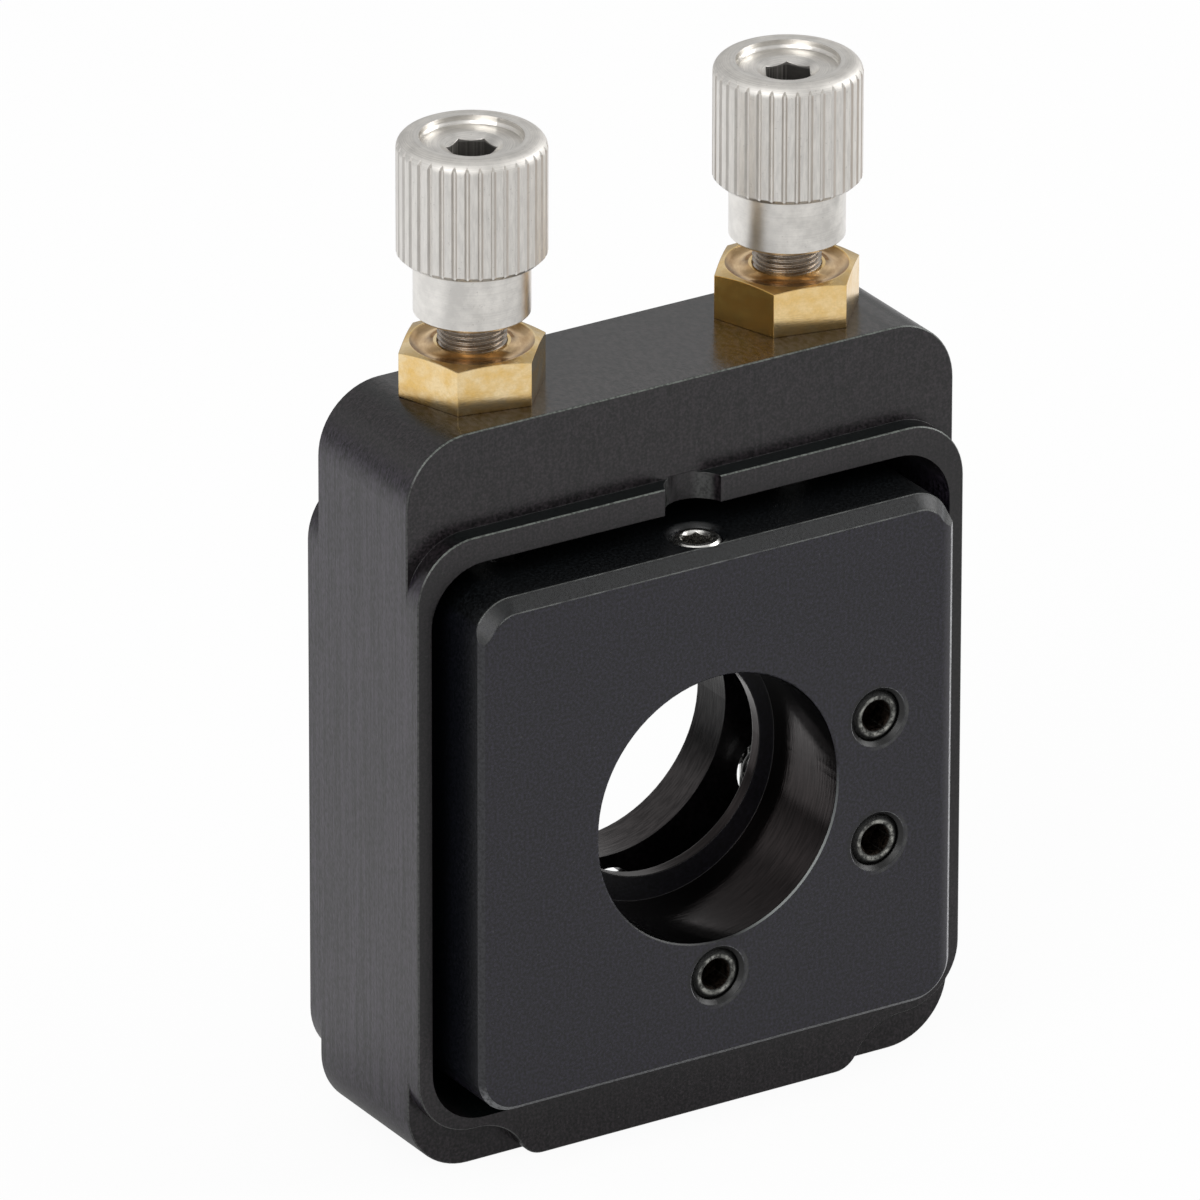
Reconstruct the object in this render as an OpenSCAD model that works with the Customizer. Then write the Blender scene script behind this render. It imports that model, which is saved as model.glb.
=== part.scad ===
// Kinematic mirror mount for a half-inch optic, adjusted from above.
// Two fine screws push ramped pins down; each ramp pushes one ball of the front plate forward.
// Frame of the part: +X right, +Y back, +Z up; the origin is on the optic axis, at the plate's face.

/* [Optic and front plate] */
// Diameter of the optic the mount holds
optic_d = 12.7; // [12.3:0.05:13]
// Clearance on the diameter between the optic and its bore
optic_clear = 0.1; // [0.05:0.05:0.3]
// Width and height of the front plate
plate_w = 25.4; // [25:0.1:27]
// Thickness of the front plate
plate_t = 6; // [5.6:0.1:7]
// Radius of the front plate's corners
plate_corner_r = 1.9; // [1:0.05:3]
// Bevel along the top edge of the plate's face and round its upper corners
plate_top_bevel = 0.6; // [0.3:0.05:0.8]
// Small break on the plate's other edges
plate_edge = 0.25; // [0.1:0.05:0.4]
// Thickness of the lip the optic rests on
lip_t = 0.6; // [0.4:0.1:1.2]
// Width of that lip
lip_w = 0.8; // [0.5:0.1:1.2]
// How far the bore is drawn out downwards, so that the optic is pressed onto its lower side
bore_drop = 0.43; // [0.1:0.01:0.5]
// Small break at the bore's mouth
bore_edge = 0.08; // [0.04:0.02:0.12]

/* [Frame] */
// Gap round the plate in the frame's pocket
plate_gap = 1.15; // [0.9:0.05:1.6]
// How far the plate's face stands in front of the frame's front rim
plate_proud = 2.3; // [1.5:0.1:2.7]
// Room for tilting between the plate and the back wall
back_gap = 3.5; // [3.4:0.1:4.2]
// Wall at each side of the pocket
side_wall = 0.75; // [0.6:0.05:2]
// Wall above the pocket, which carries the adjusters
top_wall = 6; // [5:0.1:9]
// Wall below the pocket, which carries the post thread
bottom_wall = 2.65; // [2:0.05:5]
// Wall behind the pocket
back_wall = 2.4; // [2.2:0.1:4]
// Radius of the pocket's corners
pocket_corner_r = 2.75; // [1.5:0.05:3]
// Radius of the block's corners
block_corner_r = 3.2; // [2:0.1:4]
// Small break on the frame's edges
frame_edge = 0.06; // [0.04:0.01:0.3]
// How far the raised rims stand out from the block, front and back
rim_h = 0.95; // [0.5:0.05:1.2]
// Width of the rim above the pocket
rim_above = 1.3; // [0.8:0.1:2]
// Width of the rim below the pocket
rim_below = 0.5; // [0.4:0.05:1.5]
// Radius of the rim's corners
rim_corner_r = 3; // [1.5:0.1:3.2]
// Straight width of the pad that joins the rim to the foot of the block
foot_pad_w = 15.9; // [14:0.1:16.4]
// Radius of the foot pad's lower corners
foot_pad_r = 1.25; // [0.8:0.05:1.5]
// Radius of the hollow between the rim and the foot pad
foot_fillet_r = 2.7; // [1.5:0.1:3]
// Radius of the key notch in the top of the rim
notch_r = 1.55; // [1.4:0.05:2]
// Diameter of the light aperture in the back wall
aperture_d = 12.7; // [11:0.1:13]
// Tap hole for the post in the foot, drill diameter
post_hole_d = 3.5; // [2.5:0.1:4.2]

/* [Adjusters] */
// Distance of each adjuster behind the plate's face
adjuster_depth = 7.7; // [7.6:0.05:7.8]
// Spacing of the three support points, across and up
lever = 16.8; // [16.2:0.1:17.2]
// Outer diameter of the fine screws
screw_d = 3.175; // [2.8:0.005:3.3]
// Pitch of the fine screws
screw_pitch = 0.254; // [0.2:0.002:0.26]
// Turns each screw can make either way from the middle
screw_turns = 4.5; // [3:0.5:4.5]
// Running clearance of the screws in their bushings, on the radius
screw_fit = 0.02; // [0.015:0.005:0.05]
// Width of the bushing's hexagon across its flats
bushing_af = 6.1; // [5.8:0.05:6.6]
// Height of the bushing's hexagon
bushing_h = 2.3; // [2:0.05:3.5]
// Diameter of the bushing's shank
bushing_shank_d = 4.8; // [4.4:0.05:5]
// Radius of the flat on top of the hexagon
bushing_flat_r = 2.9; // [2.75:0.05:3]
// Slope of the hexagon's corner bevel, in degrees
bushing_bevel = 16; // [10:1:30]
// Depth of the trough turned round the screw
bushing_dish = 0.2; // [0.05:0.05:0.3]
// Turn of the hexagons, in degrees
bushing_turn = 48; // [0:1:60]
// Gap between the bushing and the knob's collar
collar_gap = 1.4; // [1.2:0.02:2.5]
// Diameter of the knob's collar
collar_d = 5.35; // [4.6:0.05:5.8]
// Height of the knob's collar
collar_h = 2.76; // [1.5:0.02:4]
// Diameter of the knurled knob
knob_d = 6.86; // [6.4:0.02:8]
// Height of the knurled knob
knob_h = 5.8; // [4.8:0.1:8]
// Radius of the knob's rounded top edge
knob_round = 0.57; // [0.3:0.01:0.8]
// Bevel at the lower edge of the knurled part
knob_bevel = 0.25; // [0.1:0.05:0.4]
// Number of flutes round the knob
knob_flutes = 36; // [24:1:40]
// Depth of each flute
flute_depth = 0.15; // [0.08:0.01:0.2]
// Width of each flute
flute_w = 0.26; // [0.14:0.02:0.34]
// Diameter of the recess in the knob's top
knob_recess_d = 4.78; // [4:0.02:5.2]
// Depth of that recess
knob_recess_depth = 0.4; // [0.2:0.01:1]
// Hexagon socket in the knob, across its flats
knob_socket_af = 2; // [1.5:0.1:2.4]
// Depth of that socket
knob_socket_depth = 2; // [1.2:0.1:2.2]
// Depth that the screw reaches into the knob
screw_seat = 3.4; // [2:0.1:4]

/* [Drive pins and balls] */
// Diameter of the support balls
ball_d = 3; // [2.8:0.05:3.1]
// Diameter of the ramped pins
pin_d = 2.5; // [2.4:0.02:2.6]
// Diameter of the long pin's slim shank
pin_shank_d = 1.8; // [1.4:0.05:2]
// Sliding clearance of the pins, on the radius
pin_fit = 0.03; // [0.015:0.005:0.04]
// Length of the pin's guide bore in the frame's top wall
guide_len = 1.55; // [1:0.05:1.8]
// Length of the long pin's ramped head
pin_head_len = 4.4; // [3.6:0.1:5]
// Gap between ramp and ball
ramp_gap = 0.02; // [0.01:0.01:0.05]
// Wall round a ball in its seat on the plate
seat_wall = 0.4; // [0.3:0.05:0.45]
// Height of the ball seats above the plate's back
seat_h = 0.7; // [0.4:0.05:0.75]
// Clearance of the balls in their cones
seat_fit = 0.01; // [0.005:0.005:0.03]
// Radius of the pivot's post on the back wall
post_r = 2.2; // [1.9:0.1:2.4]
// How far the pivot's post ends behind the middle of its ball
post_behind = 0.78; // [0.7:0.02:0.9]
// Width of the saddles that back the pins
saddle_w = 3.6; // [3.2:0.1:3.8]
// Room kept between the tilting plate and the pins
relief_clear = 0.3; // [0.2:0.02:0.34]

/* [Return springs] */
// Outer diameter of the springs
spring_d = 2.6; // [2.4:0.05:2.8]
// Diameter of the spring wire
wire_d = 0.4; // [0.3:0.02:0.44]
// Number of coils in each spring
spring_coils = 12; // [8:1:14]
// Diameter of the spring holes
spring_hole_d = 3.2; // [3:0.05:3.3]
// Distance of the two side springs from the optic axis
side_spring_x = 8.6; // [8.4:0.05:8.8]
// Height of the upper side spring
side_spring_up = 2.3; // [2:0.05:2.8]
// Height of the lower side spring, below the axis
side_spring_down = 3.95; // [3.6:0.05:4.2]
// Distance of the bottom spring below the optic axis
bottom_spring_z = 8.6; // [8.55:0.05:8.8]
// Diameter of the spring screws in the plate's face
spring_screw_d = 2.5; // [2.2:0.05:2.6]
// Length of their threaded part
spring_screw_len = 2.1; // [1.6:0.1:2.3]
// How far they sit below the plate's face
spring_screw_sunk = 0.15; // [0.1:0.05:0.6]
// Length of their stem inside the spring
spring_stem_len = 2; // [1.4:0.1:2.4]
// Diameter of the countersinks over them
countersink_d = 2.95; // [2.7:0.05:3.1]
// Hexagon socket in them, across its flats
spring_socket_af = 1.35; // [0.9:0.01:1.4]
// Diameter of the cross pins on the frame's back
cross_pin_d = 0.9; // [0.8:0.02:1]
// Length of the cross pins
cross_pin_len = 4.8; // [4.2:0.1:5]
// Depth of the cross pins' axes below the frame's back face
cross_pin_deep = 0.9; // [0.88:0.01:1]

/* [Optic screw] */
// Distance of the optic screw behind the plate's face
optic_screw_y = 2; // [1.8:0.05:2.6]
// Diameter of the optic screw
optic_screw_d = 2.4; // [2:0.05:2.5]
// Length of the optic screw
optic_screw_len = 3.9; // [3:0.1:4.2]
// How far its top lies below the plate's edge
optic_screw_sunk = 0.12; // [0.1:0.02:0.4]
// Diameter of the countersink over it
optic_sink_d = 2.9; // [2.6:0.05:3]
// Diameter of its soft tip
tip_d = 1.7; // [1.2:0.05:1.8]
// Gap between the tip and the optic bore at rest
tip_gap = 0.1; // [0.1:0.05:0.6]
// Hexagon socket in the optic screw, across its flats
optic_socket_af = 1.27; // [0.9:0.01:1.4]

/* [Hidden] */
$fn = 48;
over = 1;            // how far a cut runs past a face
bore_r = (optic_d + optic_clear) / 2;
plate_r = plate_w / 2;
pocket_r = plate_r + plate_gap;
frame_r = pocket_r + side_wall;
frame_top = pocket_r + top_wall;
frame_bottom = -pocket_r - bottom_wall;
rim_top = pocket_r + rim_above;
rim_bottom = -pocket_r - rim_below;
rim_front = plate_proud;
block_front = rim_front + rim_h;
floor_y = plate_t + back_gap;
frame_back = floor_y + back_wall;
block_back = frame_back - rim_h;
foot_drop = rim_bottom - frame_bottom;
fillet_r = max(foot_fillet_r, foot_drop - foot_pad_r);
foot_turn = acos(1 - foot_drop / (fillet_r + foot_pad_r));  // where the pad's corner meets the hollow
foot_reach = (fillet_r + foot_pad_r) * sin(foot_turn);
pad_x = min(foot_pad_w / 2, frame_r - rim_corner_r - foot_reach);
support = lever / 2;                 // each support point lies this far from the axes
ball_r = ball_d / 2;
pin_r = pin_d / 2;
shank_r = pin_shank_d / 2;
ball_y = adjuster_depth - (ball_r + ramp_gap) * sqrt(0.5);
travel = screw_turns * screw_pitch;
tilt = asin(travel / lever);
bushing_top = frame_top + bushing_h;
collar_z = bushing_top + collar_gap;
guide_top = pocket_r + guide_len;
pin_top = guide_top + travel + 0.05;  // the screw's tip stays clear of the guide bore
screw_r = screw_d / 2;
boss_r = ball_r + seat_wall;
spring_r = (spring_d - wire_d) / 2;   // to the middle of the wire
hook_r = (cross_pin_d + wire_d) / 2 + 0.02;
cross_pin_y = frame_back - cross_pin_deep;
stem_r = spring_r - wire_d / 2 - 0.08;
cut_y = spring_screw_sunk + spring_screw_len;  // end of the screw thread in the plate
saddle_foot = boss_r + 0.2;           // the saddles start this far above their ball
// how far the plate's back can come towards the pins at height z
function drop_right(z) = tan(tilt) * (z + support);
function drop_left(z) = travel + drop_right(z);

// ---- shared shapes ----

// A cylinder along +Y from y0 to y1, at x and z; cone if r2 is given
module along_y(x, z, y0, y1, r, r2 = -1)
    translate([x, y0, z]) rotate([-90, 0, 0]) cylinder(h = y1 - y0, r1 = r, r2 = r2 < 0 ? r : r2);

// A block standing in the XZ plane with rounded corners and sharp faces
module rounded_block(x0, x1, z0, z1, y0, y1, r)
    translate([0, y1, 0]) rotate([90, 0, 0]) linear_extrude(y1 - y0) {
        translate([x0 + r, z0]) square([x1 - x0 - 2 * r, z1 - z0]);
        translate([x0, z0 + r]) square([x1 - x0, z1 - z0 - 2 * r]);
        for (x = [x0 + r, x1 - r], z = [z0 + r, z1 - r]) translate([x, z]) circle(r);
    }

// The same with its front edge broken by cf and its back edge by cb; its front is at y = 0
module slab(x0, x1, z0, z1, t, r, cf, cb) {
    translate([x0 + r, 0, 0]) rotate([90, 0, 90]) linear_extrude(x1 - x0 - 2 * r)
        polygon([[0, z0 + cf], [cf, z0], [t - cb, z0], [t, z0 + cb],
            [t, z1 - cb], [t - cb, z1], [cf, z1], [0, z1 - cf]]);
    translate([0, 0, z0 + r]) linear_extrude(z1 - z0 - 2 * r)
        polygon([[x0 + cf, 0], [x1 - cf, 0], [x1, cf], [x1, t - cb],
            [x1 - cb, t], [x0 + cb, t], [x0, t - cb], [x0, cf]]);
    for (x = [x0 + r, x1 - r], z = [z0 + r, z1 - r])
        translate([x, 0, z]) rotate([-90, 0, 0]) rotate_extrude()
            polygon([[0, 0], [r - cf, 0], [r, cf], [r, t - cb], [r - cb, t], [0, t]]);
}

// Setscrew along +Z, its socket at the top: outer radius, length, socket and end break
module setscrew(r, len, af, deep, edge)
    difference() {
        rotate_extrude() polygon([[0, 0], [r - edge, 0], [r, edge], [r, len - edge],
            [r - edge, len], [0, len]]);
        translate([0, 0, len - deep]) cylinder(h = deep + over, r = af / sqrt(3), $fn = 6);
        translate([0, 0, len - 0.15]) cylinder(h = 0.3, r1 = af / 2, r2 = af / 2 + 0.3);
    }

// ---- frame ----

// One raised rim with its foot pad, face at y = 0 and its root towards +Y
module rim() {
    deep = rim_h + over;
    slab(-frame_r, frame_r, rim_bottom, rim_top, deep, rim_corner_r, frame_edge, 0.01);
    translate([-pad_x, 0, 0]) rotate([90, 0, 90]) linear_extrude(2 * pad_x)
        polygon([[0, frame_bottom + frame_edge], [frame_edge, frame_bottom],
            [deep, frame_bottom], [deep, rim_bottom + over], [0, rim_bottom + over]]);
    for (side = [0, 1]) mirror([side, 0, 0]) {
        translate([pad_x, 0, frame_bottom + foot_pad_r]) rotate([-90, 0, 0]) rotate_extrude()
            polygon([[0, 0], [foot_pad_r - frame_edge, 0], [foot_pad_r, frame_edge],
                [foot_pad_r, deep], [0, deep]]);
        // web between the pad's round corner and the rim, hollowed by the fillet
        difference() {
            translate([0, deep, 0]) rotate([90, 0, 0]) linear_extrude(deep)
                polygon([[pad_x - over, frame_bottom + foot_pad_r],
                    [pad_x, frame_bottom + foot_pad_r],
                    [pad_x + foot_pad_r * sin(foot_turn),
                        frame_bottom + foot_pad_r * (1 - cos(foot_turn))],
                    [pad_x + foot_reach, rim_bottom], [pad_x + foot_reach, rim_bottom + over],
                    [pad_x - over, rim_bottom + over]]);
            along_y(pad_x + foot_reach, rim_bottom - fillet_r, -over, deep + over, fillet_r);
            along_y(pad_x + foot_reach, rim_bottom - fillet_r, -0.01, frame_edge,
                fillet_r + frame_edge + 0.01, fillet_r);
        }
    }
}

// Saddle behind a ramped pin, from z0 to z1
module saddle(x, z0, z1)
    translate([x - saddle_w / 2, adjuster_depth + 0.05, z0])
        cube([saddle_w, floor_y - adjuster_depth + 0.3, z1 - z0]);

// Slot for a cross pin along Z, open to the back
module cross_pin_slot() translate([0, cross_pin_y, -cross_pin_len / 2 - 0.1]) {
    cylinder(h = cross_pin_len + 0.2, r = cross_pin_d / 2 + 0.03);
    translate([-cross_pin_d / 2 - 0.03, 0, 0])
        cube([cross_pin_d + 0.06, cross_pin_deep + over, cross_pin_len + 0.2]);
}

// Places its children at each spring's axis, with +Z along that spring's cross pin
module at_upper() translate([side_spring_x, 0, side_spring_up]) children();
module at_lower() translate([side_spring_x, 0, -side_spring_down]) children();
module at_bottom() translate([0, 0, -bottom_spring_z]) rotate([0, 90, 0]) children();

module frame() color("#1b1b1d") difference() {
    union() {
        difference() {
            union() {
                translate([0, block_front, 0])
                    slab(-frame_r, frame_r, frame_bottom, frame_top, block_back - block_front,
                        block_corner_r, frame_edge, frame_edge);
                translate([0, rim_front, 0]) rim();
                translate([0, frame_back, 0]) mirror([0, 1, 0]) rim();
            }
            rounded_block(-pocket_r, pocket_r, -pocket_r, pocket_r, rim_front - over, floor_y,
                pocket_corner_r);
        }
        along_y(support, -support, ball_y + post_behind, floor_y + 0.3, post_r);
        saddle(support, support + saddle_foot, pocket_r + 0.3);
        saddle(-support, -support + saddle_foot, long_head_top + travel);
    }
    // light aperture and key notch
    along_y(0, 0, floor_y - over, frame_back + over, aperture_d / 2);
    translate([0, rim_front - 0.4, pocket_r - over]) cylinder(h = rim_above + over + 0.1, r = notch_r);
    // bushing seats and pin guides
    for (s = [-1, 1]) translate([s * support, adjuster_depth, 0]) {
        translate([0, 0, guide_top]) cylinder(h = top_wall, r = bushing_shank_d / 2 + 0.01);
        translate([0, 0, pocket_r - over]) cylinder(h = guide_len + 2 * over, r = pin_r + pin_fit);
    }
    translate([support, adjuster_depth, support]) cylinder(h = pocket_r - support, r = pin_r + pin_fit);
    translate([-support, adjuster_depth, -support])
        cylinder(h = support, r = pin_r + pin_fit);
    // cone of the pivot ball
    along_y(support, -support, ball_y, ball_y + cone_h, cone_h, 0);
    // springs and their cross pins
    for (k = [0 : 2]) at_spring(k) {
        along_y(0, 0, floor_y - over, frame_back + over, spring_hole_d / 2);
        cross_pin_slot();
    }
    // post thread in the foot
    translate([0, (block_front + block_back) / 2, frame_bottom - over])
        cylinder(h = bottom_wall + 2 * over, r = post_hole_d / 2);
}
cone_h = (ball_r + seat_fit) * sqrt(2);       // 90 degree cone, its mouth level with the ball's middle
long_head_low = -support + (ball_r + ramp_gap) * sqrt(0.5) - pin_r;
long_head_top = long_head_low + pin_head_len;
module at_spring(k) {
    if (k == 0) at_upper() children();
    if (k == 1) at_lower() children();
    if (k == 2) at_bottom() children();
}

// ---- front plate ----

module front_plate() color("#2b2c31") difference() {
    union() {
        slab(-plate_r, plate_r, -plate_r, plate_r, plate_t, plate_corner_r, plate_edge, plate_edge);
        for (s = [-1, 1]) along_y(s * support, s * support, plate_t - over, plate_t + seat_h, boss_r);
    }
    top_bevel();
    // optic bore with its lip
    bore(-over, plate_t - lip_t, bore_r, bore_r);
    bore(-0.01, bore_edge, bore_r + bore_edge + 0.01, bore_r);
    along_y(0, 0, -over, plate_t + over, bore_r - lip_w);
    // spring holes with their screws' threads and countersinks
    for (k = [0 : 2]) at_spring(k) {
        along_y(0, 0, -over, plate_t + over, spring_screw_d / 2 + 0.01);
        along_y(0, 0, cut_y, plate_t + over, spring_hole_d / 2);
        along_y(0, 0, -0.01, (countersink_d - spring_screw_d) / 2, countersink_d / 2 + 0.01,
            spring_screw_d / 2);
    }
    // optic screw hole
    translate([0, optic_screw_y, 0]) cylinder(h = plate_r + over, r = optic_screw_d / 2 + 0.02);
    sink = (optic_sink_d - optic_screw_d) / 2;
    translate([0, optic_screw_y, plate_r - sink])
        cylinder(h = sink + 0.01, r1 = optic_screw_d / 2, r2 = optic_sink_d / 2 + 0.01);
    // seats of the balls
    for (p = [[-1, -1], [1, 1], [1, -1]]) {
        along_y(p[0] * support, p[1] * support, ball_y - cone_h, ball_y - cone_h + ball_r + 0.02,
            0, ball_r + 0.02);
        along_y(p[0] * support, p[1] * support, ball_y - cone_h + ball_r + 0.02,
            plate_t + seat_h + over, ball_r + 0.02);
    }
    // room for the pins when the plate tilts back
    relief(-support, long_head_top - 0.5, plate_r + over, shank_r,
        adjuster_depth - drop_left(plate_r));
    relief(-support, -support + saddle_foot, long_head_top + travel + 0.15, pin_r,
        adjuster_depth - drop_left(long_head_top + travel));
    relief(support, support + boss_r + 0.1, plate_r + over, pin_r,
        adjuster_depth - drop_right(plate_r));
}

// The bore's outline from y0 to y1, drawn out downwards; its radius goes from r to r2
module bore(y0, y1, r, r2) {
    for (z = [0, -bore_drop]) along_y(0, z, y0, y1, r, r2);
    translate([0, 0, -bore_drop]) linear_extrude(bore_drop)
        polygon([[-r, y0], [r, y0], [r2, y1], [-r2, y1]]);
}

// 45 degree bevel along the top edge of the face, carried round the upper corners by a cone cutter
module top_bevel() {
    b = plate_top_bevel;
    c = plate_r - plate_corner_r;
    in = plate_corner_r - b;
    cutter = 1.5;
    translate([-c, 0, 0]) rotate([90, 0, 90]) linear_extrude(2 * c)
        polygon([[-over, plate_r - b - over], [b + over, plate_r + over], [-over, plate_r + over]]);
    for (side = [0, 1]) mirror([side, 0, 0]) translate([c, 0, c]) {
        rotate([90, 0, 0]) rotate([0, 0, bevel_end]) rotate_extrude(angle = 90 - bevel_end)
            polygon([[in - 0.01, 0.01], [in + b + over, -b - over], [in + b + over, 0.01]]);
        along_y((in + cutter) * cos(bevel_end), (in + cutter) * sin(bevel_end), -0.01, b + 0.01,
            cutter + 0.01, cutter - b - 0.01);
    }
}
bevel_end = 30;   // the bevel runs out this many degrees above the sideways direction

// Round-bottomed groove along Z in the plate's back, for a pin of radius r whose axis comes to y
module relief(x, z0, z1, r, y) translate([x, y, z0]) {
    cylinder(h = z1 - z0, r = r + relief_clear);
    translate([-r - relief_clear, 0, 0])
        cube([2 * (r + relief_clear), plate_t + over - y, z1 - z0]);
}

// ---- adjusters ----

module bushing(s) color("#c9a24b") translate([s * support, adjuster_depth, 0]) difference() {
    union() {
        intersection() {
            translate([0, 0, frame_top]) rotate([0, 0, bushing_turn])
                cylinder(h = bushing_h, r = bushing_af / sqrt(3), $fn = 6);
            corner = bushing_af / sqrt(3) + 0.2;
            translate([0, 0, frame_top]) rotate_extrude() polygon([[0, 0], [corner, 0],
                [corner, bushing_h - (corner - bushing_flat_r) * tan(bushing_bevel)],
                [bushing_flat_r, bushing_h], [0, bushing_h]]);
        }
        translate([0, 0, guide_top + 0.05])
            cylinder(h = frame_top - guide_top, r = bushing_shank_d / 2 - 0.01);
    }
    translate([0, 0, guide_top]) cylinder(h = top_wall + bushing_h + over, r = screw_r + screw_fit);
    translate([0, 0, bushing_top - bushing_dish + trough_r]) rotate_extrude()
        translate([trough_mid, 0]) circle(trough_r);
}
// the trough leaves a narrow land inside and outside
trough_half = (bushing_flat_r - screw_r - 0.22) / 2;
trough_mid = screw_r + 0.17 + trough_half;
trough_r = (trough_half * trough_half + bushing_dish * bushing_dish) / (2 * bushing_dish);

module screw(s) color("#6c6a66") translate([s * support, adjuster_depth, 0]) rotate_extrude()
    polygon([[0, pin_top], [screw_r - 0.3, pin_top], [screw_r, pin_top + 0.3],
        [screw_r, collar_z + screw_seat], [0, collar_z + screw_seat]]);

module knob(s, turn) color("#c4c1bb") translate([s * support, adjuster_depth, collar_z])
    rotate([0, 0, turn]) difference() {
        rotate_extrude() {
            polygon(knob_profile());
            translate([knob_r - knob_round, knob_top - knob_round]) circle(knob_round);
        }
        translate([0, 0, knob_top - knob_recess_depth - knob_socket_depth])
            cylinder(h = knob_socket_depth + over, r = knob_socket_af / sqrt(3), $fn = 6);
        translate([0, 0, -over]) cylinder(h = screw_seat + over, r = screw_r + 0.01);
        for (i = [0 : knob_flutes - 1]) rotate([0, 0, 360 * (i + 0.5) / knob_flutes])
            translate([0, 0, collar_h - over]) linear_extrude(knob_h + 2 * over)
                polygon([[knob_r - flute_depth, 0], [knob_r + 0.1, -flute_out],
                    [knob_r + 0.1, flute_out]]);
    }
knob_r = knob_d / 2;
knob_top = collar_h + knob_h;
// half the flute's cutter at 0.1 outside the knob
flute_out = flute_w / 2 * (flute_depth + 0.1) / flute_depth;
function knob_profile() = let(r = knob_r, c = collar_d / 2, q = knob_recess_d / 2,
    m = knob_socket_af / sqrt(3) + 0.29, floor = knob_top - knob_recess_depth) [
    [0, 0], [c - 0.12, 0], [c, 0.12], [c, collar_h], [r - knob_bevel, collar_h],
    [r, collar_h + knob_bevel], [r, knob_top - knob_round], [r - knob_round, knob_top - knob_round],
    [r - knob_round, knob_top], [q, knob_top], [q, floor], [m, floor], [m - 0.5, floor - 0.29],
    [0, floor - 0.29]];

// ---- drive pins and balls ----

// Cuts the 45 degree ramp on a pin over a ball at height z
module ramp_cut(z) translate([0, ball_y - adjuster_depth, z]) rotate([-45, 0, 0])
    translate([-2 * pin_d, -4 * pin_d, -8 * pin_d])
        cube([4 * pin_d, 8 * pin_d, 8 * pin_d + ball_r + ramp_gap]);

module drive_pin_right() color("#a8a8a8") translate([support, adjuster_depth, 0]) difference() {
    translate([0, 0, support - ball_r]) rotate_extrude() polygon([[0, 0], [pin_r, 0],
        [pin_r, pin_top - support + ball_r - 0.15], [pin_r - 0.15, pin_top - support + ball_r],
        [0, pin_top - support + ball_r]]);
    ramp_cut(support);
}

module drive_pin_left() color("#a8a8a8") translate([-support, adjuster_depth, 0]) difference() {
    neck = pocket_r - travel - 0.3;     // the guided end stays in the guide bore
    rotate_extrude() polygon([[0, -support - ball_r], [pin_r, -support - ball_r],
        [pin_r, long_head_top - 0.3], [shank_r, long_head_top], [shank_r, neck - 0.3],
        [pin_r, neck], [pin_r, pin_top - 0.15], [pin_r - 0.15, pin_top], [0, pin_top]]);
    ramp_cut(-support);
}

module ball(x, z) color("#d0d0d2") translate([x * support, ball_y, z * support]) sphere(r = ball_r);

// ---- return springs ----

// Middle line of a spring: coils round the Y axis, then a half loop over the cross pin
function spring_line() = let(y0 = cut_y + 0.25, y1 = cross_pin_y - hook_r - 0.45, n = 10,
    a = [spring_r, y1, 0], b = [spring_r, y1 + 0.05, 0.55], c = [hook_r, cross_pin_y - 0.5, 0.1],
    d = [hook_r, cross_pin_y, 0]) concat(
    [for (i = [0 : n * spring_coils - 1]) let(t = i / n) [spring_r * cos(360 * t),
        y0 + (y1 - y0) * t / spring_coils, spring_r * sin(360 * t)]],
    [for (u = [0 : 0.2 : 1]) pow(1 - u, 3) * a + 3 * u * pow(1 - u, 2) * b
        + 3 * u * u * (1 - u) * c + u * u * u * d],
    [for (t = [20 : 20 : 200]) [hook_r * cos(t), cross_pin_y + hook_r * sin(t), 0]]);
function unit(v) = v / norm(v);
function tangents(p) = [for (i = [0 : len(p) - 1])
    unit(p[min(i + 1, len(p) - 1)] - p[max(i - 1, 0)])];
// a side direction carried along the line without twist
function sides(t) = [for (i = 0, n = unit(cross(t[0], [0, 1, 0])); i < len(t);
    i = i + 1, n = i < len(t) ? unit(n - (n * t[i]) * t[i]) : n) n];

module wire(p, r, m = 6) {
    t = tangents(p);
    s = sides(t);
    points = [for (i = [0 : len(p) - 1], k = [0 : m - 1])
        p[i] + r * (cos(360 * k / m) * s[i] + sin(360 * k / m) * cross(t[i], s[i]))];
    faces = concat([[for (k = [0 : m - 1]) k]],
        [for (i = [0 : len(p) - 2], k = [0 : m - 1])
            [i * m + k, (i + 1) * m + k, (i + 1) * m + (k + 1) % m, i * m + (k + 1) % m]],
        [[for (k = [m - 1 : -1 : 0]) (len(p) - 1) * m + k]]);
    polyhedron(points, faces);
}

module spring() color("#b9b9b6") wire(spring_line(), wire_d / 2);

module cross_pin() color("#9a9a98") translate([0, cross_pin_y, -cross_pin_len / 2])
    cylinder(h = cross_pin_len, r = cross_pin_d / 2);

module spring_screw() color("#202022") translate([0, cut_y, 0]) rotate([90, 0, 0]) {
    setscrew(spring_screw_d / 2, spring_screw_len, spring_socket_af, 1.2, 0.2);
    translate([0, 0, -spring_stem_len]) cylinder(h = spring_stem_len + 0.1, r = stem_r);
}

// ---- optic screw ----

optic_screw_top = plate_r - optic_screw_sunk;
module optic_screw() color("#c8c8c6") translate([0, optic_screw_y, optic_screw_top - optic_screw_len])
    setscrew(optic_screw_d / 2, optic_screw_len, optic_socket_af, 1.3, 0.2);

module optic_tip() color("#ecebe4") translate([0, optic_screw_y, 0])
    translate([0, 0, bore_r + tip_gap])
        cylinder(h = optic_screw_top - optic_screw_len - bore_r - tip_gap, r = tip_d / 2);

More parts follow.
